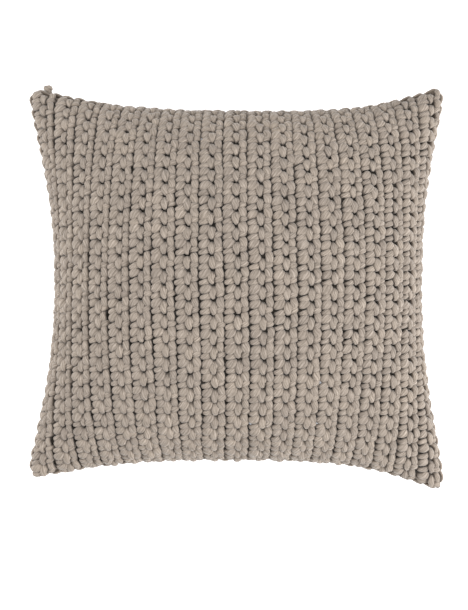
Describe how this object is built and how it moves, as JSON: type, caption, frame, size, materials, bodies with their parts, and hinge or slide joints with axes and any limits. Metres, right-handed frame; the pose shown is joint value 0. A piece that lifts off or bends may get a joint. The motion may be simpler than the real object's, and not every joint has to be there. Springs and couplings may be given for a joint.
{
  "type": "throw pillow",
  "caption": "Square throw pillow with a chunky crocheted cover, corner points and a hidden zip in its lower seam, over a stuffed insert.",
  "frame": {"origin": "centre of the bounding box at its base, where the back panel rests", "axes": "+Z out of the front panel, +Y to the top edge, +X to the right of someone facing the front"},
  "size_m": [0.4416, 0.4255, 0.153],
  "materials": {
    "yarn": "matte bulky yarn, taupe grey",
    "insert_cloth": "white plain-weave cotton blend",
    "fill": "loose white polyester fibre",
    "thread": "sewing thread",
    "zip_tape": "woven polyester tape",
    "zip_coil": "nylon coil",
    "zip_metal": "satin nickel"
  },
  "bodies": {
    "pillow": {"cover_front_panel": "yarn", "cover_back_panel": "yarn", "seam_chain_left": "yarn", "seam_chain_right": "yarn", "seam_chain_top": "yarn", "seam_chain_bottom_left": "yarn", "seam_chain_bottom_right": "yarn", "yarn_end_knot": "yarn", "insert_casing_front": "insert_cloth", "insert_casing_back": "insert_cloth", "insert_overlocked_edge": "thread", "insert_closing_stitch": "thread", "insert_fill": "fill", "zip_tape_front": "zip_tape", "zip_tape_back": "zip_tape", "zip_coil_front": "zip_coil", "zip_coil_back": "zip_coil", "zip_top_stop_front": "zip_metal", "zip_top_stop_back": "zip_metal", "zip_bottom_stop": "zip_metal", "zip_stitching_front": "thread", "zip_stitching_back": "thread"},
    "slider": {"zip_slider": "zip_metal"},
    "pull": {"zip_pull": "zip_metal"}
  },
  "joints": [
    {"name": "zip_slide", "type": "slide", "parent": "pillow", "child": "slider", "axis": [-1, 0, 0], "range_m": [0, 0.214]},
    {"name": "pull_swing", "type": "hinge", "parent": "slider", "child": "pull", "pos_m": [0.109, -0.1908, 0.074], "axis": [0, 0, 1], "range_deg": [0, 150]}
  ]
}
